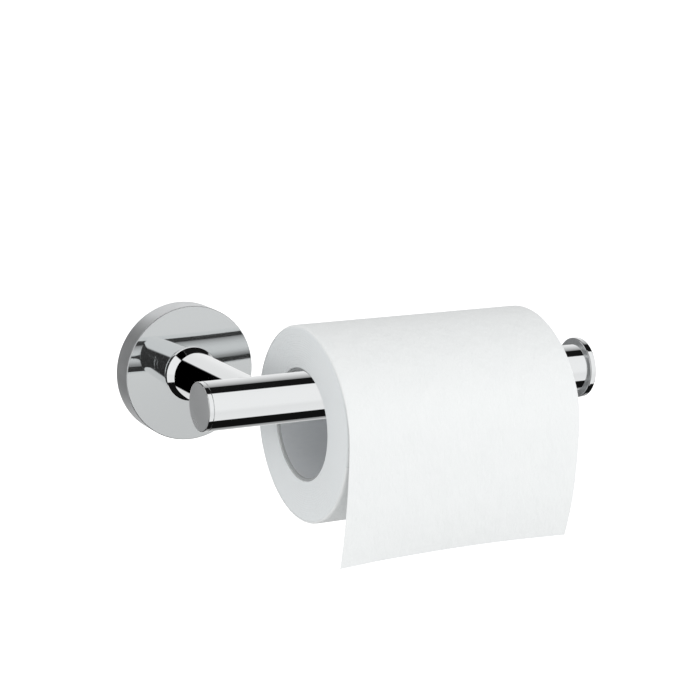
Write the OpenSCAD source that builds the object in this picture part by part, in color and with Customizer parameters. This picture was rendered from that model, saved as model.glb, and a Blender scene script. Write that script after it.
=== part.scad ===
// Wall-mounted toilet paper holder: one post, one straight bar with an end
// stop, and a paper roll that hangs on the bar.
// The wall is the plane y = 0 and the holder stands out from it towards -Y.
// +Z is up, +X runs along the bar to its free end, and the origin is the
// centre of the rosette's back, on the wall.

/* [Rosette] */
// Outer diameter of the rosette
rosette_d = 54; // [52:1:60]
// Depth of the rosette, from the wall to its front edge
rosette_depth = 10.8; // [10.6:0.2:13]
// How far the domed front rises from that edge to the collar's seat
face_rise = 0.8; // [0.2:0.1:1.6]
// Thickness of the rosette's rim and front face
rosette_wall = 1.8; // [1.4:0.1:2]
// Bevel round the rosette's front edge
rosette_bevel = 0.3; // [0.2:0.1:0.8]

/* [Wall bracket] */
// Thickness of the bracket that the rosette slips over
bracket_t = 5; // [4:0.5:5.5]
// Distance between the centres of the two screw slots
slot_spacing = 30; // [29:1:31]
// End-to-end length of a screw slot
slot_length = 9; // [7:0.5:9]
// Width of a screw slot
slot_w = 4.6; // [4:0.1:5]

/* [Post] */
// Diameter of the post
post_d = 18.8; // [16:0.2:20]
// Diameter of the conical collar where it meets the rosette
collar_d = 21.6; // [20.6:0.2:23]
// Diameter of the collar's narrow end, under the post
collar_neck_d = 13; // [11.6:0.2:16]
// Length of the collar, from the rosette to the post
collar_length = 4.9; // [3:0.1:7]

/* [Bar] */
// Diameter of the bar
bar_d = 18.8; // [18:0.2:20]
// Wall thickness of the bar's tube
bar_wall = 1.4; // [1:0.1:1.6]
// Distance from the wall to the bar's axis
bar_out = 64; // [62:1:80]
// Distance from the post's axis to the bar's near end
bar_near_end = 20; // [20:1:30]
// Distance from the post's axis to the inner face of the end stop
stop_at = 146.5; // [140:0.5:160]
// Thickness of the visible rim of the near end cap
cap_rim = 2.2; // [1.6:0.1:3]
// Diameter of the end stop
stop_d = 24.4; // [24:0.2:28]
// Thickness of the end stop
stop_t = 2.7; // [2:0.1:4]

/* [Paper roll] */
// Width of the roll
paper_w = 100; // [94:1:104]
// Diameter of the wound paper
paper_d = 75.4; // [60:0.2:90]
// Inner diameter of the cardboard core
core_d = 41.2; // [38:0.2:45]
// Wall thickness of the cardboard core
core_wall = 1.2; // [0.8:0.1:1.6]
// Gap between the post and the roll's near face
roll_gap = 13.1; // [5:0.1:15]
// Height of the sheet that hangs below the roll's axis
sheet_drop = 47.5; // [30:0.5:70]

/* [Hidden] */
$fn = 96;
cut = 1;               // how far a cutter runs past the face it cuts
seat = 0.02;           // radial gap of a part seated in a bore

// rosette and bracket
rosette_r = rosette_d / 2;
cup_r = rosette_r - rosette_wall;
cup_depth = rosette_depth - rosette_wall;
bracket_r = cup_r - 0.3;
groove_depth = 1.2;
groove_half_w = 1.4;
bracket_hole_r = 8;
bracket_flat_z = -21.2;
boss_w = 10;
boss_top_z = -21.4;
boss_front = 1;        // how far the boss stays off the wall
grub_r = 2;
grub_out = 3.4;        // distance of the grub screw's axis from the wall
grub_recess = 0.6;     // how far the grub screw's end sits inside the rim
grub_end_z = grub_recess - rosette_r;
grub_tip = 1;
grub_tip_r = 0.8;
grub_dimple = 0.3;
hex_r = 1.15;
hex_depth = 2;

// the clamp that pulls the bar, the post and the rosette together
tie_r = 2.5;
tie_bore_r = tie_r + 0.25;
tie_head_r = 4.25;
tie_head_h = 5;
tie_socket_r = 2.3;
tie_socket_depth = 2.8;
clamp_washer_r = 7;
washer_t = 1.2;
spring_washer_r = 4.4;
spring_washer_slit = 1;
head_face = cup_depth - 2 * washer_t;
anchor_length = 20;
anchor_thread = 10;
tie_end = 1;           // clear thread left beyond the tie screw

// post
post_r = post_d / 2;
face_front = rosette_depth + face_rise;     // the collar's flat seat on the rosette
face_edge_r = rosette_r - rosette_bevel;
post_base = face_front + collar_length;
post_bevel = 0.2;
dowel_r = 0.9;
dowel_z = 4.3;
dowel_in_post = 5;
collar_lip = 0.5;      // straight part of the collar
dome_steps = 12;       // pieces of the rosette's domed front
saddle_pin_r = 1.25;
saddle_pin_x = 5.6;
saddle_pin_in_post = 5;

// bar
bar_r = bar_d / 2;
bore_r = bar_r - bar_wall;
tube_near = -bar_near_end + cap_rim;
edge_bevel = 0.35;
spigot_length = 7;
spigot_r = bore_r - 0.4;
ring_r = 0.9;          // half the O-ring's thickness
ring_at = 3.6;         // distance of the O-ring from the tube's end
stop_shank_r = 2.5;
stop_shank_length = 12;
stop_plug_length = 16;
stop_bevel = 0.4;

// paper roll
paper_r = paper_d / 2;
core_r = core_d / 2;
core_recess = 0.5;
rest_gap = 0.15;       // gap left where the core rests on the bar
roll_x = post_r + roll_gap;
roll_z = bar_r - core_r + rest_gap;
sheet_t = 0.4;
sheet_gap = 0.3;
sheet_r = paper_r + sheet_gap + sheet_t;
sheet_straight = 4;
curl_r = 162;          // radius of the curl that takes the free end to the wall

// a rod along X, from one x to another
module rod_x(x0, x1, r) {
    translate([x0, 0, 0])
        rotate([0, 90, 0])
            cylinder(h = x1 - x0, r = r);
}

// a rod square to the wall, from one distance off it to another
module rod_out(near, far, r) {
    translate([0, -near, 0])
        rotate([90, 0, 0])
            cylinder(h = far - near, r = r);
}

// a turned shape square to the wall: 2D x is the radius, 2D y the distance
module turned_out() {
    rotate([90, 0, 0])
        rotate_extrude()
            children();
}

// a turned shape on the bar's axis: 2D x is the radius, 2D y runs along X
module turned_on_bar() {
    translate([0, -bar_out, 0])
        rotate([0, 90, 0])
            rotate_extrude()
                children();
}

// moves the origin to the bar's axis
module at_bar() {
    translate([0, -bar_out, 0])
        children();
}

// moves the origin to the roll's axis, in the plane of the roll's near face
module at_roll() {
    translate([roll_x, -bar_out, roll_z])
        children();
}

// a tube along X, from one x to another
module tube_x(x0, x1, outer, inner) {
    difference() {
        rod_x(x0, x1, outer);
        rod_x(x0 - cut, x1 + cut, inner);
    }
}

// one screw slot of the bracket, lying along X
module screw_slot(depth) {
    reach = (slot_length - slot_w) / 2;
    for (side = [-1, 1])
        translate([side * reach, 0, 0])
            rod_out(-cut, depth + cut, slot_w / 2);
    translate([-reach, -depth - cut, -slot_w / 2])
        cube([2 * reach, depth + 2 * cut, slot_w]);
}

// cast bracket, screwed to the wall through its slots
module wall_bracket() {
    color("darkgray")
    difference() {
        turned_out()
            polygon([[0, 0], [bracket_r, 0],
                     [bracket_r, grub_out - groove_half_w],
                     [bracket_r - groove_depth, grub_out],
                     [bracket_r, min(grub_out + groove_half_w, bracket_t)],
                     [bracket_r, bracket_t], [0, bracket_t]]);
        rod_out(-cut, bracket_t + cut, bracket_hole_r);
        for (side = [-1, 1])
            translate([side * slot_spacing / 2, 0, 0])
                screw_slot(bracket_t);
        translate([-rosette_r, -bracket_t - cut, bracket_flat_z - rosette_r])
            cube([rosette_d, bracket_t + 2 * cut, rosette_r]);
        grub_place()
            cylinder(h = grub_dimple + cut, r = grub_tip_r + seat);
    }
}

// puts the origin at the bracket's flat, on the grub screw's axis
module grub_place() {
    translate([0, -grub_out, bracket_flat_z - cut])
        children();
}

// one point of the rosette's domed front, from its edge (0) to the collar's seat (1)
function dome_point(share) =
    let (r = face_edge_r + share * (collar_d / 2 - face_edge_r))
    [r, rosette_depth + face_rise * (pow(face_edge_r, 2) - pow(r, 2))
        / (pow(face_edge_r, 2) - pow(collar_d / 2, 2))];

// chromed cup that covers the bracket and carries the post
module rosette() {
    color("silver")
    difference() {
        union() {
            turned_out()
                polygon([[cup_r, 0], [rosette_r, 0],
                         [rosette_r, rosette_depth - rosette_bevel],
                         for (i = [0:dome_steps]) dome_point(i / dome_steps),
                         [tie_bore_r, face_front], [tie_bore_r, cup_depth],
                         [cup_r, cup_depth]]);
            intersection() {
                rod_out(boss_front, cup_depth + seat, cup_r + seat);
                translate([-boss_w / 2, -rosette_depth, boss_top_z - rosette_r])
                    cube([boss_w, rosette_depth, rosette_r]);
            }
        }
        translate([0, -grub_out, -rosette_r - cut])
            cylinder(h = rosette_r, r = grub_r + seat);
        translate([0, 0, dowel_z])
            rod_out(cup_depth - cut, face_front + cut, dowel_r + seat);
    }
}

// hidden screw that locks the rosette on the bracket, from below
module rosette_grub_screw() {
    body_top = bracket_flat_z - grub_tip + grub_dimple;
    color("dimgray")
    translate([0, -grub_out, 0])
    difference() {
        union() {
            translate([0, 0, grub_end_z])
                cylinder(h = body_top - grub_end_z, r = grub_r);
            translate([0, 0, body_top])
                cylinder(h = grub_tip, r = grub_tip_r);
        }
        translate([0, 0, grub_end_z - cut])
            cylinder(h = cut + hex_depth, r = hex_r, $fn = 6);
    }
}

// solid turned post, with a saddle end that fits round the bar
module post() {
    color("silver")
    difference() {
        turned_out()
            polygon([[0, post_base], [post_r - post_bevel, post_base],
                     [post_r, post_base + post_bevel], [post_r, bar_out], [0, bar_out]]);
        at_bar()
            rod_x(-post_r - cut, post_r + cut, bar_r + seat);
        rod_out(0, bar_out, tie_bore_r);
        translate([0, 0, dowel_z])
            rod_out(0, post_base + dowel_in_post + cut, dowel_r + seat);
        translate([saddle_pin_x, 0, 0])
            rod_out(bar_out - bar_r - saddle_pin_in_post - cut, bar_out, saddle_pin_r + seat);
    }
}

// conical collar that sets the post off the rosette
module post_collar() {
    color("silver")
    difference() {
        translate([0, -face_front, 0])
            turned_out()
                polygon([[0, 0], [collar_d / 2, 0], [collar_d / 2, collar_lip],
                         [collar_neck_d / 2, collar_length], [0, collar_length]]);
        rod_out(0, bar_out, tie_bore_r);
        translate([0, 0, dowel_z])
            rod_out(0, bar_out, dowel_r + seat);
    }
}

// pin that stops the post turning on the rosette
module post_dowel() {
    color("gray")
    translate([0, 0, dowel_z])
        rod_out(cup_depth, post_base + dowel_in_post, dowel_r);
}

// long socket screw from inside the rosette into the bar's anchor
module tie_screw() {
    anchor_face = bar_out - bore_r + seat;
    color("gray")
    difference() {
        union() {
            rod_out(head_face - tie_head_h, head_face, tie_head_r);
            rod_out(head_face, anchor_face + anchor_thread - tie_end, tie_r);
        }
        translate([0, tie_head_h - head_face + cut, 0])
            rotate([90, 0, 0])
                cylinder(h = tie_socket_depth + cut, r = tie_socket_r, $fn = 6);
    }
}

// wide washer under the tie screw's head, against the rosette's face
module clamp_washer() {
    color("silver")
    difference() {
        rod_out(cup_depth - washer_t, cup_depth, clamp_washer_r);
        rod_out(0, rosette_depth, tie_bore_r);
    }
}

// split washer that keeps the tie screw tight
module spring_washer() {
    color("gray")
    difference() {
        rod_out(head_face, head_face + washer_t, spring_washer_r);
        rod_out(0, rosette_depth, tie_bore_r);
        translate([-spring_washer_slit / 2, -rosette_depth, 0])
            cube([spring_washer_slit, rosette_depth, spring_washer_r + cut]);
    }
}

// pin that keeps the bar square to the post
module saddle_pin() {
    bar_back = bar_out - bar_r;
    color("gray")
    translate([saddle_pin_x, 0, 0])
        rod_out(bar_back - saddle_pin_in_post, bar_back + bar_wall, saddle_pin_r);
}

// chromed tube that the roll hangs on
module bar_tube() {
    color("silver")
    difference() {
        at_bar()
            tube_x(tube_near, stop_at, bar_r, bore_r);
        rod_out(bar_out - bar_r - cut, bar_out, tie_bore_r);
        translate([saddle_pin_x, 0, 0])
            rod_out(bar_out - bar_r - cut, bar_out, saddle_pin_r + seat);
    }
}

// round nut block inside the tube, where the tie screw ends
module bar_anchor() {
    color("goldenrod")
    difference() {
        at_bar()
            rod_x(-anchor_length / 2, anchor_length / 2, bore_r - seat);
        rod_out(bar_out - bar_r, bar_out - bore_r + anchor_thread, tie_r + seat);
    }
}

// flat cap with a rubber-ringed spigot in the bar's near end
module end_cap() {
    groove_floor = bore_r - 2 * ring_r - 2 * seat;
    color("silver")
    translate([tube_near, 0, 0])
        turned_on_bar()
            difference() {
                polygon([[0, -cap_rim], [bar_r - edge_bevel, -cap_rim],
                         [bar_r, edge_bevel - cap_rim], [bar_r, -edge_bevel],
                         [bar_r - edge_bevel, 0], [spigot_r, 0],
                         [spigot_r, spigot_length], [0, spigot_length]]);
                translate([groove_floor, ring_at - ring_r - seat])
                    square([bar_r, 2 * (ring_r + seat)]);
            }
}

// rubber ring that holds the cap in the tube
module end_cap_o_ring() {
    color("black")
    translate([tube_near + ring_at, 0, 0])
        turned_on_bar()
            translate([bore_r - ring_r - seat, 0])
                circle(r = ring_r, $fn = 32);
}

// wider disc at the free end that stops the roll sliding off
module stop_disc() {
    stop_r = stop_d / 2;
    color("silver")
    translate([stop_at, 0, 0])
        turned_on_bar()
            polygon([[0, -stop_shank_length], [stop_shank_r, -stop_shank_length],
                     [stop_shank_r, 0], [stop_r - stop_bevel, 0], [stop_r, stop_bevel],
                     [stop_r, stop_t - stop_bevel], [stop_r - stop_bevel, stop_t],
                     [0, stop_t]]);
}

// threaded plug in the tube's free end, for the end stop's shank
module stop_plug() {
    color("goldenrod")
    at_bar()
        difference() {
            rod_x(stop_at - stop_plug_length, stop_at, bore_r - seat);
            rod_x(stop_at - stop_plug_length - cut, stop_at + cut, stop_shank_r + seat);
        }
}

// outline of the outermost layer and the end that hangs from it, as seen along X
module sheet_outline() {
    difference() {
        circle(r = sheet_r, $fn = 160);
        circle(r = sheet_r - sheet_t, $fn = 160);
    }
    translate([sheet_r - sheet_t, -sheet_straight])
        square([sheet_t, sheet_straight]);
    translate([sheet_r - curl_r, -sheet_straight])
        intersection() {
            difference() {
                circle(r = curl_r, $fn = 360);
                circle(r = curl_r - sheet_t, $fn = 360);
            }
            translate([curl_r / 2, sheet_straight - sheet_drop])
                square([curl_r, sheet_drop - sheet_straight]);
        }
}

// last layer of the paper, over the top of the roll and down in front
module hanging_sheet() {
    color("white")
    at_roll()
        translate([paper_w, 0, 0])
            rotate([90, 0, -90])
                linear_extrude(height = paper_w)
                    sheet_outline();
}

// cardboard core of the roll
module roll_core() {
    color("lightgray")
    at_roll()
        tube_x(core_recess, paper_w - core_recess, core_r + core_wall, core_r);
}

// paper wound on the core
module paper_winding() {
    color("white")
    at_roll()
        tube_x(0, paper_w, paper_r, core_r + core_wall);
}

wall_bracket();
rosette();
rosette_grub_screw();
post();
post_collar();
post_dowel();
tie_screw();
clamp_washer();
spring_washer();
saddle_pin();
bar_tube();
bar_anchor();
end_cap();
end_cap_o_ring();
stop_disc();
stop_plug();
hanging_sheet();
roll_core();
paper_winding();
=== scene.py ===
import math

import bmesh
import bpy
from mathutils import Matrix, Vector, noise


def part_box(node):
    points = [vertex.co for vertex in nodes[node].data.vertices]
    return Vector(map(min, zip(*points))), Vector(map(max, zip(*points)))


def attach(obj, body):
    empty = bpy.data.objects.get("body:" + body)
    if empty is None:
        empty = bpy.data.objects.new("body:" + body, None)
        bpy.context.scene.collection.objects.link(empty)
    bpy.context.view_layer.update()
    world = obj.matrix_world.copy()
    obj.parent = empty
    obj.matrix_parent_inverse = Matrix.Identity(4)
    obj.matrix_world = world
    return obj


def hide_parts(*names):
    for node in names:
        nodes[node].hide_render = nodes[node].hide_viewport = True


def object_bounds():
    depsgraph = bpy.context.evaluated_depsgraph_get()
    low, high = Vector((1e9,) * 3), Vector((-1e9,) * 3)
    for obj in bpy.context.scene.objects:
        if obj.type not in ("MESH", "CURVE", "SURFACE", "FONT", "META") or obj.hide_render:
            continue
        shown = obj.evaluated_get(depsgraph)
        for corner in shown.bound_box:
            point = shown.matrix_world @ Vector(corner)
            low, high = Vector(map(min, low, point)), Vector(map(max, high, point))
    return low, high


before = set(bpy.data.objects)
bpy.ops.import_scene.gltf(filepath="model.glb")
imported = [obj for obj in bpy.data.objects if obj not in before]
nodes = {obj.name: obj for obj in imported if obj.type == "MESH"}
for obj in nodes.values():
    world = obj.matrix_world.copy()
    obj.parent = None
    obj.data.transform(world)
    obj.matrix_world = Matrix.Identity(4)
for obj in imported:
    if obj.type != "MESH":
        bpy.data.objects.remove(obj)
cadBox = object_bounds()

mm = 0.001
tiny = 1e-6
scene = bpy.context.scene


def cadBoxMm(name):
    low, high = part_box(name)
    return low / mm, high / mm


# places taken from the frame, in millimetres
barLow, barHigh = cadBoxMm("bar_tube")
postLow, postHigh = cadBoxMm("post")
collarLow, collarHigh = cadBoxMm("post_collar")
rosetteLow, rosetteHigh = cadBoxMm("rosette")
capLow, capHigh = cadBoxMm("end_cap")
stopLow, stopHigh = cadBoxMm("stop_disc")
coreLow, coreHigh = cadBoxMm("roll_core")
windingLow, windingHigh = cadBoxMm("paper_winding")
sheetBottom = cadBoxMm("hanging_sheet")[0].z

barRadius = (barHigh.z - barLow.z) / 2
barOut = -(barHigh.y + barLow.y) / 2          # bar's axis from the wall
rollAxis = (windingLow + windingHigh) / 2
paperRadius = (windingHigh.z - windingLow.z) / 2
coreOuter = (coreHigh.z - coreLow.z) / 2
rosetteRadius = rosetteHigh.x
rosetteDepth = -rosetteLow.y
collarSeat = (collarHigh.x - collarLow.x) / 2
print("frame loaded:", len(nodes), "nodes, bar radius", round(barRadius, 2), "mm")


def meshObject(name, verts, faces, smooth=True):
    # points come in millimetres, the scene is in metres
    data = bpy.data.meshes.new(name)
    data.from_pydata([[c * mm for c in v] for v in verts], [], faces)
    data.update()
    piece = bpy.data.objects.new(name, data)
    scene.collection.objects.link(piece)
    if smooth:
        data.polygons.foreach_set("use_smooth", [True] * len(data.polygons))
    return piece


def roundCorners(corners, steps=6, guard=0.06):
    # corners are (radius, height, fillet); straight stretches keep a guard point beside each fillet
    outline = []
    count = len(corners)
    for i, (x, y, fillet) in enumerate(corners):
        here = Vector((x, y))
        before = Vector(corners[i - 1][:2]) - here
        after = Vector(corners[(i + 1) % count][:2]) - here
        if fillet <= 0:
            outline.append(here)
            continue
        half = before.angle(after) / 2
        reach = fillet / math.tan(half)
        start = here + before.normalized() * reach
        end = here + after.normalized() * reach
        centre = here + (before.normalized() + after.normalized()).normalized() * fillet / math.sin(half)
        outline.append(start + before.normalized() * guard)
        sweep = (start - centre).angle_signed(end - centre)
        for k in range(steps + 1):
            turn = Matrix.Rotation(-sweep * k / steps, 2)
            outline.append(centre + turn @ (start - centre))
        outline.append(end + after.normalized() * guard)
    return outline


def turned(name, outline, place, segments=192):
    # turns a closed outline of (radius, height) about an axis; place maps radius, angle, height to a point
    verts = []
    rings = []
    for point in outline:
        if point[0] < tiny:
            rings.append([len(verts)])
            verts.append(place(0, 0, point[1]))
            continue
        rings.append([len(verts) + k for k in range(segments)])
        verts += [place(point[0], 2 * math.pi * k / segments, point[1]) for k in range(segments)]
    faces = []
    for i, ring in enumerate(rings):
        other = rings[(i + 1) % len(rings)]
        if len(ring) == 1 and len(other) == 1:
            continue
        for k in range(segments):
            n = (k + 1) % segments
            if len(ring) == 1:
                faces.append((ring[0], other[n], other[k]))
            elif len(other) == 1:
                faces.append((ring[k], ring[n], other[0]))
            else:
                faces.append((ring[k], ring[n], other[n], other[k]))
    piece = meshObject(name, verts, faces)
    outwards(piece)
    return piece


def outwards(piece):
    work = bmesh.new()
    work.from_mesh(piece.data)
    bmesh.ops.recalc_face_normals(work, faces=work.faces)
    work.to_mesh(piece.data)
    work.free()


def crisp(piece, degrees=32):
    # corners steeper than this stay hard, the rest shade softly
    piece.data.set_sharp_from_angle(angle=math.radians(degrees))
    weighted = piece.modifiers.new("weighted", "WEIGHTED_NORMAL")
    weighted.keep_sharp = True
    return piece


def outFromWall(radius, angle, height):
    return (radius * math.cos(angle), -height, radius * math.sin(angle))


def alongBar(radius, angle, height):
    return (height, -barOut + radius * math.cos(angle), radius * math.sin(angle))


def aroundRoll(radius, angle, height):
    return (height, rollAxis.y - radius * math.cos(angle), rollAxis.z + radius * math.sin(angle))


def newMaterial(name, color, metallic, roughness):
    material = bpy.data.materials.new(name)
    material.use_nodes = True
    shader = material.node_tree.nodes["Principled BSDF"]
    shader.inputs["Base Color"].default_value = (*color, 1)
    shader.inputs["Metallic"].default_value = metallic
    shader.inputs["Roughness"].default_value = roughness
    return material, material.node_tree, shader


def link(tree, source, target):
    tree.links.new(source, target)


def mathNode(tree, operation, first, second=None):
    # each input is a number or another node's output
    node = tree.nodes.new("ShaderNodeMath")
    node.operation = operation
    for socket, value in zip(node.inputs, (first, second)):
        if value is None:
            continue
        if hasattr(value, "links"):
            link(tree, value, socket)
        else:
            socket.default_value = value
    return node.outputs[0]


def noiseNode(tree, coords, scale, detail=4.0, rough=0.55, stretch=None):
    if stretch:
        mapping = tree.nodes.new("ShaderNodeMapping")
        mapping.inputs["Scale"].default_value = stretch
        link(tree, coords, mapping.inputs["Vector"])
        coords = mapping.outputs["Vector"]
    node = tree.nodes.new("ShaderNodeTexNoise")
    node.inputs["Scale"].default_value = scale
    node.inputs["Detail"].default_value = detail
    node.inputs["Roughness"].default_value = rough
    link(tree, coords, node.inputs["Vector"])
    return node.outputs["Fac"]


def spread(tree, value, low, high, fromLow=0.3, fromHigh=0.7):
    # stretches the middle of a noise over the range from low to high
    node = tree.nodes.new("ShaderNodeMapRange")
    node.inputs["From Min"].default_value = fromLow
    node.inputs["From Max"].default_value = fromHigh
    node.inputs["To Min"].default_value = low
    node.inputs["To Max"].default_value = high
    link(tree, value, node.inputs["Value"])
    return node.outputs["Result"]


def bump(tree, shader, height, strength, depth):
    # depth is in millimetres
    node = tree.nodes.new("ShaderNodeBump")
    node.inputs["Strength"].default_value = strength
    node.inputs["Distance"].default_value = depth * mm
    link(tree, height, node.inputs["Height"])
    link(tree, node.outputs["Normal"], shader.inputs["Normal"])


def mixInto(tree, shader, factor, first, second):
    # blends the base colour between two tones
    node = tree.nodes.new("ShaderNodeMix")
    node.data_type = "RGBA"
    link(tree, factor, node.inputs[0])
    node.inputs[6].default_value = (*first, 1)
    node.inputs[7].default_value = (*second, 1)
    link(tree, node.outputs[2], shader.inputs["Base Color"])


def objectCoords(tree):
    return tree.nodes.new("ShaderNodeTexCoord").outputs["Object"]


chromeLook = {
    "color": (0.90, 0.915, 0.92), "metal": 1.0, "haze": (0.015, 0.06), "blotch": 60.0, "rub": 1400.0,
    "rubStretch": (0.05, 1, 1), "hazeFrom": (0.12, 0.42)}


def makeChrome(name, look):
    material, tree, shader = newMaterial(name, look["color"], look["metal"], look["haze"][0])
    coords = objectCoords(tree)
    cloud = noiseNode(tree, coords, look["blotch"], detail=3)
    rub = noiseNode(tree, coords, look["rub"], detail=2, stretch=look["rubStretch"])
    both = mathNode(tree, "MULTIPLY", cloud, rub)
    link(tree, spread(tree, both, *look["haze"], *look["hazeFrom"]), shader.inputs["Roughness"])
    return material


satinLook = {
    "color": (0.80, 0.815, 0.825), "metal": 0.88, "haze": (0.36, 0.44), "blotch": 90.0, "lines": 2600.0,
    "lineStretch": (1, 0.03, 1), "strength": 0.25, "depth": 0.02}
capLook = dict(satinLook, lines=900.0, metal=0.58, haze=(0.2, 0.28), lineStretch=(1, 1, 1))
faceLook = dict(chromeLook, color=(0.65, 0.67, 0.675), metal=0.925)


def makeSatin(name, look):
    material, tree, shader = newMaterial(name, look["color"], look["metal"], look["haze"][0])
    coords = objectCoords(tree)
    lines = noiseNode(tree, coords, look["lines"], detail=2, stretch=look["lineStretch"])
    cloud = noiseNode(tree, coords, look["blotch"])
    link(tree, spread(tree, cloud, *look["haze"]), shader.inputs["Roughness"])
    bump(tree, shader, lines, look["strength"], look["depth"])
    return material


# fittings behind the chrome: plain metals with a fine grain, and the rubber ring
fittingLook = {
    "hazeSpread": (0.8, 1.3), "blotch": 160.0, "darker": 0.85, "lighter": 1.1, "strength": 0.35,
    "depth": 0.05}
rubberLook = {
    "color": (0.025, 0.025, 0.027), "roughness": 0.6, "haze": (0.5, 0.75), "grain": 3000.0, "strength": 0.2,
    "depth": 0.02}


def makeCastMetal(name, look, color, roughness, grain):
    material, tree, shader = newMaterial(name, color, 1.0, roughness)
    coords = objectCoords(tree)
    pits = noiseNode(tree, coords, grain, detail=6, rough=0.7)
    link(tree, spread(tree, pits, *[roughness * k for k in look["hazeSpread"]]), shader.inputs["Roughness"])
    darker = [c * look["darker"] for c in color]
    lighter = [min(1, c * look["lighter"]) for c in color]
    mixInto(tree, shader, noiseNode(tree, coords, look["blotch"]), darker, lighter)
    bump(tree, shader, pits, look["strength"], look["depth"])
    return material


def makeRubber(name, look):
    material, tree, shader = newMaterial(name, look["color"], 0.0, look["roughness"])
    grain = noiseNode(tree, objectCoords(tree), look["grain"])
    link(tree, spread(tree, grain, *look["haze"]), shader.inputs["Roughness"])
    bump(tree, shader, grain, look["strength"], look["depth"])
    return material


chrome = makeChrome("chrome_polished", chromeLook)
satin = makeSatin("chrome_satin_rim", satinLook)
capFinish = makeSatin("chrome_cap_face", capLook)
faceFinish = makeChrome("chrome_rosette_face", faceLook)
castZinc = makeCastMetal("cast_zinc", fittingLook, (0.50, 0.51, 0.52), 0.42, 900.0)
turnedSteel = makeCastMetal("zinc_plated_steel", fittingLook, (0.62, 0.62, 0.60), 0.28, 1500.0)
turnedBrass = makeCastMetal("turned_brass", fittingLook, (0.74, 0.56, 0.26), 0.26, 1500.0)
blackRubber = makeRubber("black_rubber", rubberLook)


paperLook = {
    "color": (0.885, 0.90, 0.90), "shade": (0.85, 0.87, 0.87), "roughness": 0.95, "specular": 0.15,
    "sheen": 0.12, "sheenRough": 0.6, "cloud": 120.0, "fibre": 2400.0, "fibreHeight": 0.35, "dimple": 620.0,
    "dimpleHeight": 0.5, "crease": 150.0, "creaseStretch": (1.3, 1, 0.55), "creaseHeight": 18.0,
    "ringHeight": 0.5, "strength": 0.35, "depth": 0.12}
endsLook = dict(paperLook, color=(0.83, 0.86, 0.87), shade=(0.81, 0.84, 0.85))
layerShape = {"pitch": 0.9, "wobble": 0.9, "wobbleScale": 70.0}


def makePaper(name, look, dimples, rings):
    material, tree, shader = newMaterial(name, look["color"], 0.0, look["roughness"])
    shader.inputs["Specular IOR Level"].default_value = look["specular"]
    shader.inputs["Sheen Weight"].default_value = look["sheen"]
    shader.inputs["Sheen Roughness"].default_value = look["sheenRough"]
    coords = objectCoords(tree)
    fibre = noiseNode(tree, coords, look["fibre"], detail=5, rough=0.65)
    cloud = noiseNode(tree, coords, look["cloud"], detail=3)
    mixInto(tree, shader, cloud, look["shade"], look["color"])
    height = mathNode(tree, "MULTIPLY", fibre, look["fibreHeight"])
    if dimples:
        cells = tree.nodes.new("ShaderNodeTexVoronoi")
        cells.inputs["Scale"].default_value = look["dimple"]
        link(tree, coords, cells.inputs["Vector"])
        height = raised(tree, height, cells.outputs["Distance"], look["dimpleHeight"])
        creases = noiseNode(tree, coords, look["crease"], detail=3, rough=0.6, stretch=look["creaseStretch"])
        height = raised(tree, height, creases, look["creaseHeight"])
    if rings:
        height = raised(tree, height, layerLines(tree, coords, layerShape), look["ringHeight"])
    bump(tree, shader, height, look["strength"], look["depth"])
    return material


def raised(tree, base, pattern, amount):
    # the base with so much of the pattern added
    return mathNode(tree, "ADD", base, mathNode(tree, "MULTIPLY", pattern, amount))


def layerLines(tree, coords, shape):
    # edges of the wound layers: rings about the roll's axis, drawn only by their radius
    parts = tree.nodes.new("ShaderNodeSeparateXYZ")
    link(tree, coords, parts.inputs[0])
    across = mathNode(tree, "SUBTRACT", parts.outputs["Y"], rollAxis.y * mm)
    up = mathNode(tree, "SUBTRACT", parts.outputs["Z"], rollAxis.z * mm)
    square = mathNode(tree, "MULTIPLY", across, across)
    square = mathNode(tree, "ADD", square, mathNode(tree, "MULTIPLY", up, up))
    radius = mathNode(tree, "SQRT", square)
    cloud = noiseNode(tree, coords, shape["wobbleScale"])
    wobbled = mathNode(tree, "ADD", radius, mathNode(tree, "MULTIPLY", cloud, shape["wobble"] * mm))
    phase = mathNode(tree, "MULTIPLY", wobbled, 2 * math.pi / (shape["pitch"] * mm))
    return mathNode(tree, "SINE", phase)


boardLook = {
    "roughness": 0.9, "fibre": 900.0, "fibreStretch": (0.35, 1, 1), "strength": 0.3, "depth": 0.08}


def makeCoreBoard(name, look, dark, light):
    material, tree, shader = newMaterial(name, light, 0.0, look["roughness"])
    coords = objectCoords(tree)
    fibre = noiseNode(tree, coords, look["fibre"], detail=6, rough=0.7, stretch=look["fibreStretch"])
    mixInto(tree, shader, fibre, dark, light)
    bump(tree, shader, fibre, look["strength"], look["depth"])
    return material


paperSide = makePaper("tissue_sheet", paperLook, dimples=True, rings=False)
paperEnds = makePaper("tissue_layers", endsLook, dimples=False, rings=True)
coreBoard = makeCoreBoard("core_board", boardLook, (0.73, 0.755, 0.78), (0.82, 0.84, 0.855))
# the core's end rings take a much darker board: painted shade for the dark line at the hole's edge
paintedShadeCoreEdge = makeCoreBoard("core_board_edge_painted_shade", boardLook, (0.36, 0.375, 0.38), (0.45, 0.46, 0.465))
print("materials made")


rosetteShape = {
    "wall": 1.8, "rise": 0.8, "domeSteps": 24, "bore": 2.75, "segments": 256,
    "bevel": 0.24, "softEdge": 0.08, "wallEdge": 0.25, "lipEdge": 0.1, "boreEdge": 0.05, "cupEdge": 0.6,
    "bossHalf": 5.0, "bossOffWall": 1.0, "bossInner": 21.4, "bossIntoFace": 0.2, "bossIntoRim": 0.3,
    "grubOut": 3.4, "grubHole": 2.02, "grubInner": 20.0, "grubOver": 1.0}
# how far from a surface a face still counts as part of it, in millimetres
rosetteReach = {"rim": 0.02, "backDepth": 0.3, "backRadius": 0.2, "front": 0.08}


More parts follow.
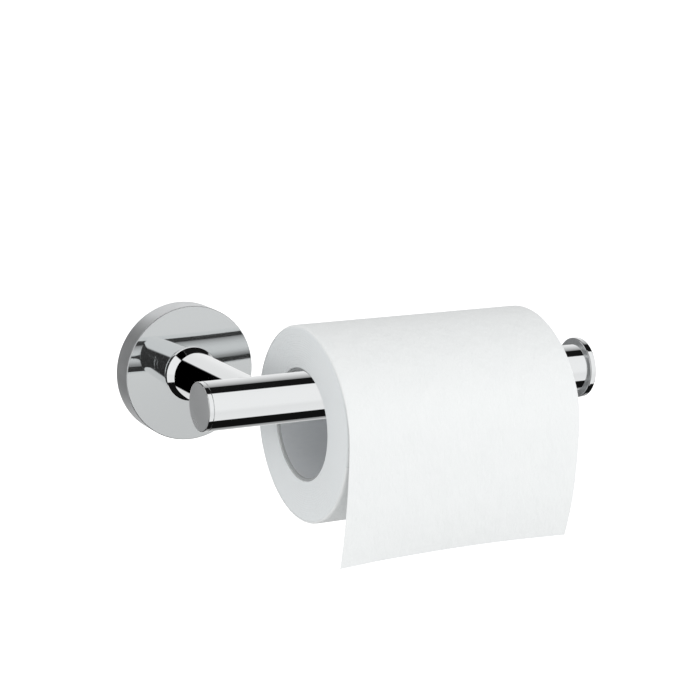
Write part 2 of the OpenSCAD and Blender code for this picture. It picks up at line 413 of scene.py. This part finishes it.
def cutWith(piece, cutter, operation):
    boolean = piece.modifiers.new("cut", "BOOLEAN")
    boolean.operation = operation
    boolean.object = cutter
    boolean.solver = "EXACT"
    bpy.context.view_layer.objects.active = piece
    with bpy.context.temp_override(object=piece, active_object=piece, selected_objects=[piece]):
        bpy.ops.object.modifier_apply(modifier="cut")
    bpy.data.objects.remove(cutter)


def boxMesh(name, low, high):
    corners = [(x, y, z) for x in (low[0], high[0]) for y in (low[1], high[1]) for z in (low[2], high[2])]
    faces = [(0, 1, 3, 2), (4, 6, 7, 5), (0, 4, 5, 1), (2, 3, 7, 6), (0, 2, 6, 4), (1, 5, 7, 3)]
    piece = meshObject(name, corners, faces, smooth=False)
    outwards(piece)
    return piece


def rodUp(name, x, y, bottom, top, radius, segments=48):
    def place(r, angle, height):
        return (x + r * math.cos(angle), y + r * math.sin(angle), height)

    return turned(name, [(0, bottom), (radius, bottom), (radius, top), (0, top)], place, segments)


def domeDepth(shape, radius):
    # how far the rosette's domed front stands off the wall at this distance from its middle
    edge = rosetteRadius - shape["bevel"]
    fall = (max(radius, collarSeat) ** 2 - collarSeat ** 2) / (edge ** 2 - collarSeat ** 2)
    return rosetteDepth - shape["rise"] * fall


def makeRosette(shape):
    cup = rosetteRadius - shape["wall"]
    edgeDepth = rosetteDepth - shape["rise"]
    depth = edgeDepth - shape["wall"]
    soft = shape["softEdge"]
    bevel = shape["bevel"]
    corners = [(cup, 0, shape["lipEdge"]), (rosetteRadius, 0, shape["wallEdge"]),
               (rosetteRadius, edgeDepth - bevel, soft), (rosetteRadius - bevel, edgeDepth, soft)]
    for k in range(1, shape["domeSteps"] + 1):
        radius = rosetteRadius - bevel + (collarSeat - rosetteRadius + bevel) * k / shape["domeSteps"]
        corners.append((radius, domeDepth(shape, radius), 0))
    corners += [(shape["bore"], rosetteDepth, shape["boreEdge"]), (shape["bore"], depth, shape["boreEdge"]),
                (cup, depth, shape["cupEdge"])]
    piece = turned("rosette_shell", roundCorners(corners), outFromWall, shape["segments"])
    # the boss for the grub screw, and the screw's hole up through the rim
    boss = boxMesh("boss", (-shape["bossHalf"], -depth - shape["bossIntoFace"], -cup - shape["bossIntoRim"]),
                   (shape["bossHalf"], -shape["bossOffWall"], -shape["bossInner"]))
    cutWith(piece, boss, "UNION")
    below = -rosetteRadius - shape["grubOver"]
    hole = rodUp("grub_hole", 0, -shape["grubOut"], below, -shape["grubInner"], shape["grubHole"])
    cutWith(piece, hole, "DIFFERENCE")
    piece.data.polygons.foreach_set("use_smooth", [True] * len(piece.data.polygons))
    piece.data.materials.clear()
    finishes = [chrome, satin, castZinc, faceFinish]
    for finish in finishes:
        piece.data.materials.append(finish)
    for face in piece.data.polygons:
        radius = math.hypot(face.center.x, face.center.z) / mm
        front = -face.center.y / mm
        if radius > rosetteRadius - bevel - rosetteReach["rim"]:
            finish = satin
        elif front < depth + rosetteReach["backDepth"] and radius < cup + rosetteReach["backRadius"]:
            finish = castZinc
        elif front > domeDepth(shape, radius) - rosetteReach["front"]:
            finish = faceFinish
        else:
            finish = chrome
        face.material_index = finishes.index(finish)
    return crisp(piece)


rosette = makeRosette(rosetteShape)
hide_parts("rosette")
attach(rosette, "holder")
rosette.visible_glossy = False         # the post shows the studio's panels, not the rosette's edge
print("rosette made")


postShape = {
    "bore": 2.75, "chamfer": 0.2, "margin": 0.3, "seam": 0.10, "sink": 0.02, "lengths": 10,
    "endRings": (0.8, 0.6, 0.4), "segments": 192}


def saddleDepth(radius, angle):
    # where the bar's round side lies, measured out from the wall
    return barOut - math.sqrt(max(0.0, barRadius ** 2 - (radius * math.sin(angle)) ** 2))


def makePost(shape):
    # each ring is (radius, share of the way out, offset): no share is the flat foot, 1 the bar's saddle
    radius = (postHigh.x - postLow.x) / 2
    near = -postHigh.y
    count = shape["segments"]
    chamfer, margin, seam, sink = shape["chamfer"], shape["margin"], shape["seam"], shape["sink"]

    def depthAt(r, angle, share, offset):
        if share is None:
            return near + offset
        if share == 1:
            return saddleDepth(r, angle) - offset
        return near + margin + share * (saddleDepth(r, angle) - near - 2 * margin)

    rings = [(radius - chamfer, None, 0), (radius, None, chamfer)]
    rings += [(radius, k / shape["lengths"], 0) for k in range(shape["lengths"])]
    rings += [(radius, 1, seam), (radius - seam, 1, sink)]
    rings += [(radius * s, 1, sink) for s in shape["endRings"]]
    rings += [(shape["bore"], 1, sink), (shape["bore"], None, 0)]
    verts = []
    faces = []
    for r, share, offset in rings:
        for k in range(count):
            a = 2 * math.pi * k / count
            verts.append((r * math.cos(a), -depthAt(r, a, share, offset), r * math.sin(a)))
    for i in range(len(rings)):
        j = (i + 1) % len(rings)
        for k in range(count):
            n = (k + 1) % count
            faces.append((i * count + k, i * count + n, j * count + n, j * count + k))
    piece = meshObject("post_turned", verts, faces)
    outwards(piece)
    piece.data.materials.append(chrome)
    return crisp(piece)


post = makePost(postShape)
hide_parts("post")
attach(post, "holder")


collarShape = {"lip": 0.9, "neck": 6.9, "bore": 2.75, "softEdge": 0.1, "footEdge": 0.03, "guard": 0.02}


def makeCollar(shape):
    near = -collarHigh.y
    far = -collarLow.y
    corners = [(shape["bore"], near, 0), (collarSeat, near, shape["footEdge"]),
               (collarSeat, near + shape["lip"], shape["softEdge"]), (shape["neck"], far, 0),
               (shape["bore"], far, 0)]
    piece = turned("post_collar_cone", roundCorners(corners, guard=shape["guard"]), outFromWall)
    piece.data.materials.append(chrome)
    return crisp(piece)


collar = makeCollar(collarShape)
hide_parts("post_collar")
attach(collar, "holder")
print("post made")


barShape = {"wall": 1.4, "seamEdge": 0.22, "boreEdge": 0.1}
capShape = {
    "dome": 0.25, "domeSteps": 12, "faceEdge": 0.3, "seamEdge": 0.22, "spigot": 7.6, "stepEdge": 0.05,
    "spigotEdge": 0.3}
stopShape = {"shank": 2.5, "shankEdge": 0.3, "stepEdge": 0.05, "edge": 0.5}
towardsCap = -0.9           # an end face's normal points at least this much towards the cap's end


def makeBar(shape):
    bore = barRadius - shape["wall"]
    corners = [(bore, barLow.x, shape["boreEdge"]), (barRadius, barLow.x, shape["seamEdge"]),
               (barRadius, barHigh.x, shape["seamEdge"]), (bore, barHigh.x, shape["boreEdge"])]
    piece = turned("bar_tube_polished", roundCorners(corners), alongBar)
    piece.data.materials.append(chrome)
    return crisp(piece)


def makeCap(shape):
    rim = barRadius - shape["faceEdge"]
    corners = []
    for k in range(shape["domeSteps"] + 1):
        radius = rim * k / shape["domeSteps"]
        corners.append((radius, capLow.x + shape["dome"] * (radius / rim) ** 2, 0))
    corners += [(barRadius, capLow.x + shape["dome"], shape["faceEdge"]),
                (barRadius, barLow.x, shape["seamEdge"]), (shape["spigot"], barLow.x, shape["stepEdge"]),
                (shape["spigot"], capHigh.x, shape["spigotEdge"]), (0, capHigh.x, 0)]
    piece = turned("end_cap_turned", roundCorners(corners), alongBar)
    piece.data.materials.append(chrome)
    piece.data.materials.append(capFinish)
    for face in piece.data.polygons:
        radius = math.hypot(face.center.y / mm + barOut, face.center.z / mm)
        face.material_index = 1 if face.normal.x < towardsCap and radius < rim else 0
    return crisp(piece)


def makeStop(shape):
    radius = (stopHigh.z - stopLow.z) / 2
    corners = [(0, stopLow.x, 0), (shape["shank"], stopLow.x, shape["shankEdge"]),
               (shape["shank"], barHigh.x, shape["stepEdge"]), (radius, barHigh.x, shape["edge"]),
               (radius, stopHigh.x, shape["edge"]), (0, stopHigh.x, 0)]
    piece = turned("end_stop_turned", roundCorners(corners), alongBar)
    piece.data.materials.append(chrome)
    piece.data.materials.append(capFinish)
    for face in piece.data.polygons:
        face.material_index = 1 if face.normal.x < towardsCap else 0
    return crisp(piece)


barPieces = {"bar_tube": makeBar(barShape), "end_cap": makeCap(capShape), "stop_disc": makeStop(stopShape)}
for node, piece in barPieces.items():
    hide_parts(node)
    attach(piece, "holder")
    piece.visible_glossy = node != "stop_disc"         # the bar's bands run clean up to the stop
print("bar made")


rollShape = {
    "corner": 1.1, "mouth": 0.12, "clearance": 0.04, "ringStep": 0.55, "ringDepth": 0.05, "ringScale": 1.7,
    "sideShift": 9.0, "seed": 0.3, "endFaceFrom": 3.0, "endFacing": 0.5, "steps": 8, "segments": 256}


def makeWinding(shape):
    radius = paperRadius - shape["clearance"]
    near, far = windingLow.x, windingHigh.x
    corners = [(coreOuter, near, shape["mouth"]), (radius, near, shape["corner"]),
               (radius, far, shape["corner"]), (coreOuter, far, shape["mouth"])]
    outline = roundCorners(corners, steps=shape["steps"])
    full = []
    for i, point in enumerate(outline):
        full.append(point)
        after = outline[(i + 1) % len(outline)]
        gap = (after - point).length
        if abs(after.y - point.y) < tiny and gap > shape["endFaceFrom"]:
            # an end face: shows the layers' uneven edges
            side = -1 if point.y < (near + far) / 2 else 1
            count = int(gap / shape["ringStep"])
            for k in range(1, count):
                spot = point.lerp(after, k / count)
                draw = Vector((spot.x * shape["ringScale"], side * shape["sideShift"], shape["seed"]))
                lift = noise.noise(draw) * shape["ringDepth"]
                full.append(Vector((spot.x, spot.y - side * abs(lift))))
    piece = turned("wound_paper", full, aroundRoll, shape["segments"])
    piece.data.materials.append(paperSide)
    piece.data.materials.append(paperEnds)
    for face in piece.data.polygons:
        face.material_index = 1 if abs(face.normal.x) > shape["endFacing"] else 0
    return piece


winding = makeWinding(rollShape)
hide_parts("paper_winding")
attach(winding, "roll")


coreShape = {
    "wall": 1.2, "flare": 0.35, "flareLength": 0.5, "recess": 0.15, "gap": 0.02, "edge": 0.05,
    "innerEdge": 0.3, "endFacing": 0.3, "segments": 160}


def makeCore(shape):
    inner = coreOuter - shape["wall"]
    mouth = inner + shape["flare"]
    outside = coreOuter - shape["gap"]
    near = coreLow.x + shape["recess"]
    far = coreHigh.x - shape["recess"]
    edge = shape["edge"]
    corners = [(mouth, near, edge), (outside, near, edge), (outside, far, edge), (mouth, far, edge),
               (inner, far - shape["flareLength"], shape["innerEdge"]),
               (inner, near + shape["flareLength"], shape["innerEdge"])]
    piece = turned("cardboard_core", roundCorners(corners), aroundRoll, shape["segments"])
    piece.data.materials.append(coreBoard)
    piece.data.materials.append(paintedShadeCoreEdge)
    # faces that look along the axis get the darker board, a painted shade
    for face in piece.data.polygons:
        face.material_index = 1 if abs(face.normal.x) > shape["endFacing"] else 0
    return crisp(piece)


core = makeCore(coreShape)
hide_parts("roll_core")
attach(core, "roll")
print("roll made")


# the last layer: once around the roll, then down to its cut end
sheetShape = {
    "thick": 0.28, "inset": 0.12, "startAngle": -12.0, "startLift": 0.18, "endLift": 0.26, "lengthLift": 0.4,
    "bulge": 1.45, "bulgeFrom": 70.0, "sideBulge": 0.8, "curl": 0.0026, "curlFrom": 25.0, "cornerCurl": 1.3,
    "arch": 0.9, "archIn": 1.6, "flutter": 0.35, "flutterScale": (5.0, 0.04), "seed": 2.0,
    "rowStep": 1.5, "columns": 56, "slopeStep": 0.5, "freeFrom": 20.0, "sharp": 50.0}


def sheetCentre(shape, s, u, wrapLength, drop):
    # s runs along the paper in millimetres, u across it from 0 to 1
    # gives how far out and how far up a point lies from the roll's axis
    bulge = shape["bulge"] + shape["sideBulge"] * u * u
    if s < wrapLength:
        share = s / wrapLength
        angle = math.radians(shape["startAngle"] - share * (360 + shape["startAngle"]))
        lift = shape["startLift"] + (shape["endLift"] - shape["startLift"]) * share
        left = (1 - share) * (360 + shape["startAngle"])
        if left < shape["bulgeFrom"]:
            ease = 1 - left / shape["bulgeFrom"]
            lift += bulge * ease * ease * (3 - 2 * ease)
        return (paperRadius + lift) * math.cos(angle), (paperRadius + lift) * math.sin(angle)
    share = (s - wrapLength) / drop
    middle = 4 * u * (1 - u)
    down = share * (drop - shape["arch"] * middle)
    low = max(0.0, (down - shape["curlFrom"]) / (drop - shape["curlFrom"]))
    across, along = shape["flutterScale"]
    wave = noise.noise(Vector((u * across, down * along, shape["seed"])))
    out = paperRadius + shape["endLift"] + bulge - shape["curl"] * down * down
    out -= (shape["cornerCurl"] * u + shape["archIn"] * middle) * low * low
    out += shape["flutter"] * low * wave
    return out, -down


def cornerDrop(inward, radius):
    # how far a rounded corner has fallen away at this distance from the end face
    short = max(0.0, radius - inward)
    return radius - math.sqrt(radius * radius - short * short)


def makeSheet(shape):
    near, far = windingLow.x, windingHigh.x
    width = far - near
    drop = rollAxis.z - sheetBottom
    wrapLength = math.radians(360 + shape["startAngle"]) * (paperRadius + shape["lengthLift"])
    length = wrapLength + drop
    rows = int(length / shape["rowStep"])
    columns = shape["columns"]
    step = shape["slopeStep"]
    # columns stand closer together towards the edges
    shares = [0.5 - 0.5 * math.cos(math.pi * c / columns) for c in range(columns + 1)]
    verts = []
    for side in (0.5, -0.5):
        for r in range(rows + 1):
            s = length * r / rows
            wrapped = min(1.0, max(0.0, (wrapLength - s) / shape["freeFrom"]))
            for u in shares:
                x = near + u * width
                here = Vector(sheetCentre(shape, s, u, wrapLength, drop))
                ahead = Vector(sheetCentre(shape, min(s + step, length), u, wrapLength, drop))
                behind = Vector(sheetCentre(shape, max(s - step, 0), u, wrapLength, drop))
                along = (ahead - behind).normalized()
                outward = Vector((-along.y, along.x))
                tuck = wrapped * cornerDrop(min(x - near, far - x) + shape["inset"], rollShape["corner"])
                spot = here + outward * (side * shape["thick"] - tuck)
                pull = wrapped * shape["inset"] * (1 - 2 * u)
                verts.append((x + pull, rollAxis.y - spot.x, rollAxis.z + spot.y))
    wide = columns + 1
    layer = (rows + 1) * wide
    faces = []
    for r in range(rows):
        for c in range(columns):
            a = r * wide + c
            faces.append((a, a + 1, a + wide + 1, a + wide))
            faces.append((layer + a, layer + a + wide, layer + a + wide + 1, layer + a + 1))
    for r in range(rows):
        for a in (r * wide, r * wide + columns):
            faces.append((a, a + wide, layer + a + wide, layer + a))
    for c in range(columns):
        for a in (c, rows * wide + c):
            faces.append((a, a + 1, layer + a + 1, layer + a))
    piece = meshObject("hanging_paper", verts, faces)
    outwards(piece)
    piece.data.set_sharp_from_angle(angle=math.radians(shape["sharp"]))
    piece.data.materials.append(paperSide)
    return piece, width, length


sheet, sheetWidth, sheetLength = makeSheet(sheetShape)
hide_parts("hanging_sheet")
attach(sheet, "sheet")
for piece in (winding, core, sheet):
    piece.visible_glossy = False       # keeps the polished bar's bands clean beside the white paper
print("sheet made, cut", round(sheetWidth), "by", round(sheetLength), "mm")


# the fittings that stay as the frame gives them
finishOf = {
    "wall_bracket": castZinc, "rosette_grub_screw": turnedSteel, "post_dowel": turnedSteel,
    "tie_screw": turnedSteel, "clamp_washer": turnedSteel, "spring_washer": turnedSteel,
    "saddle_pin": turnedSteel, "bar_anchor": turnedBrass, "stop_plug": turnedBrass,
    "end_cap_o_ring": blackRubber}
for name, finish in finishOf.items():
    nodes[name].visible_glossy = False
    slots = nodes[name].material_slots
    if not slots:
        nodes[name].data.materials.append(finish)
    for slot in slots:
        slot.material = finish
print("fittings finished")


floorLook = {"drop": 0.35, "size": 60.0, "color": (0.9, 0.9, 0.9), "roughness": 0.9, "glow": 0.75}


def makeFloor(look):
    half = look["size"] / mm / 2
    level = cadBox[0][2] / mm - look["drop"] / mm
    corners = [(-half, -half, level), (half, -half, level), (half, half, level), (-half, half, level)]
    floor = meshObject("floor", corners, [(0, 1, 2, 3)], smooth=False)
    material, tree, shader = newMaterial("pale_floor", look["color"], 0.0, look["roughness"])
    shader.inputs["Emission Color"].default_value = (1, 1, 1, 1)
    shader.inputs["Emission Strength"].default_value = look["glow"]
    floor.data.materials.append(material)
    floor.visible_glossy = False
    floor.visible_diffuse = False


makeFloor(floorLook)


def ramp(tree, value, stops):
    node = tree.nodes.new("ShaderNodeValToRGB")
    elements = node.color_ramp.elements
    while len(elements) > 1:
        elements.remove(elements[-1])
    elements[0].position = stops[0][0]
    elements[0].color = (*[stops[0][1]] * 3, 1)
    for position, level in stops[1:]:
        element = elements.new(position)
        element.color = (level, level, level, 1)
    link(tree, value, node.inputs["Fac"])
    return node.outputs["Color"]


# what polished metal sees, by the angle from straight up towards the wall, in degrees
glossBands = [
    (-180, 0.006), (-150, 0.006), (-149, 0.85), (-112, 0.82), (-96, 0.90), (-60, 0.90), (-20, 0.88),
    (-19, 0.008), (16.5, 0.008), (18, 0.28), (30, 0.50), (52, 0.75), (76, 0.88), (103, 0.88), (122, 0.72),
    (140, 0.42), (157, 0.26), (158, 0.006), (180, 0.006)]
# the dark panels on the left, by the angle from straight ahead to the right
panelBands = [
    (-180, 1.0), (-171, 1.0), (-170, 0.0), (-135, 0.0), (-133, 1.0), (-52, 1.0), (-51, 0.0), (-13, 0.0),
    (-12, 1.0), (180, 1.0)]
# how bright the soft light is that falls on the paper, from straight below (0) to straight above (1)
softLevels = [(0, 0.54), (0.5, 0.83), (0.65, 0.77), (1, 0.60)]


def turnShare(tree, first, second):
    # the angle from the second direction towards the first, as a share of a turn; no angle is one half
    turn = mathNode(tree, "DIVIDE", mathNode(tree, "ARCTAN2", first, second), 2 * math.pi)
    return mathNode(tree, "ADD", turn, 0.5)


def angleStops(bands):
    return [((angle + 180) / 360, level) for angle, level in bands]


def makeWorld():
    world = bpy.data.worlds.new("studio")
    scene.world = world
    world.use_nodes = True
    tree = world.node_tree
    tree.nodes.clear()
    output = tree.nodes.new("ShaderNodeOutputWorld")
    background = tree.nodes.new("ShaderNodeBackground")
    link(tree, background.outputs[0], output.inputs["Surface"])
    coords = tree.nodes.new("ShaderNodeTexCoord").outputs["Generated"]
    parts = tree.nodes.new("ShaderNodeSeparateXYZ")
    link(tree, coords, parts.inputs[0])
    x, y, z = parts.outputs
    bands = ramp(tree, turnShare(tree, y, z), angleStops(glossBands))
    panels = ramp(tree, turnShare(tree, x, mathNode(tree, "MULTIPLY", y, -1.0)), angleStops(panelBands))
    gloss = mathNode(tree, "MULTIPLY", bands, panels)
    height = mathNode(tree, "ADD", mathNode(tree, "MULTIPLY", z, 0.5), 0.5)
    soft = ramp(tree, height, softLevels)
    # polished metal sees the bands, the paper gets the soft light, and the backdrop is plain white
    path = tree.nodes.new("ShaderNodeLightPath")
    toGloss = mathNode(tree, "SUBTRACT", gloss, soft)
    seen = raised(tree, soft, path.outputs["Is Glossy Ray"], toGloss)
    toWhite = mathNode(tree, "SUBTRACT", 1.0, seen)
    seen = raised(tree, seen, path.outputs["Is Camera Ray"], toWhite)
    link(tree, seen, background.inputs["Strength"])
    background.inputs["Color"].default_value = (1, 1, 1, 1)


makeWorld()


lamps = {
    "key": {"turn": 18.0, "rise": 10.0, "far": 1.6, "size": 1.5, "power": 11.0},
    "left": {"turn": -95.0, "rise": 16.0, "far": 1.6, "size": 1.2, "power": 5.0}}


def makeLamp(name, lamp):
    data = bpy.data.lights.new(name, "AREA")
    data.shape = "SQUARE"
    data.size = lamp["size"]
    data.energy = lamp["power"]
    light = bpy.data.objects.new(name, data)
    scene.collection.objects.link(light)
    turn = math.radians(lamp["turn"])
    rise = math.radians(lamp["rise"])
    aim = Vector((math.sin(turn) * math.cos(rise), -math.cos(turn) * math.cos(rise), math.sin(rise)))
    light.location = rollAxis * mm + aim * lamp["far"]
    light.rotation_euler = aim.to_track_quat("Z", "Y").to_euler()
    light.visible_glossy = False
    light.visible_camera = False


for name, lamp in lamps.items():
    makeLamp(name, lamp)


cameraView = {
    "place": (-318.4, -739.0, 180.6), "turn": -28.17, "drop": 12.12, "roll": 0.95, "lens": 105.46,
    "sensor": 36.0, "clip": (0.01, 200.0)}


def makeCamera(look):
    data = bpy.data.cameras.new("camera")
    data.lens = look["lens"]
    data.sensor_width = look["sensor"]
    data.clip_start, data.clip_end = look["clip"]
    camera = bpy.data.objects.new("camera", data)
    scene.collection.objects.link(camera)
    camera.matrix_world = (Matrix.Translation(Vector(look["place"]) * mm)
                           @ Matrix.Rotation(math.radians(look["turn"]), 4, "Z")
                           @ Matrix.Rotation(math.radians(90 - look["drop"]), 4, "X")
                           @ Matrix.Rotation(math.radians(look["roll"]), 4, "Z"))
    scene.camera = camera


makeCamera(cameraView)
scene.view_settings.view_transform = "Standard"
print("studio made")
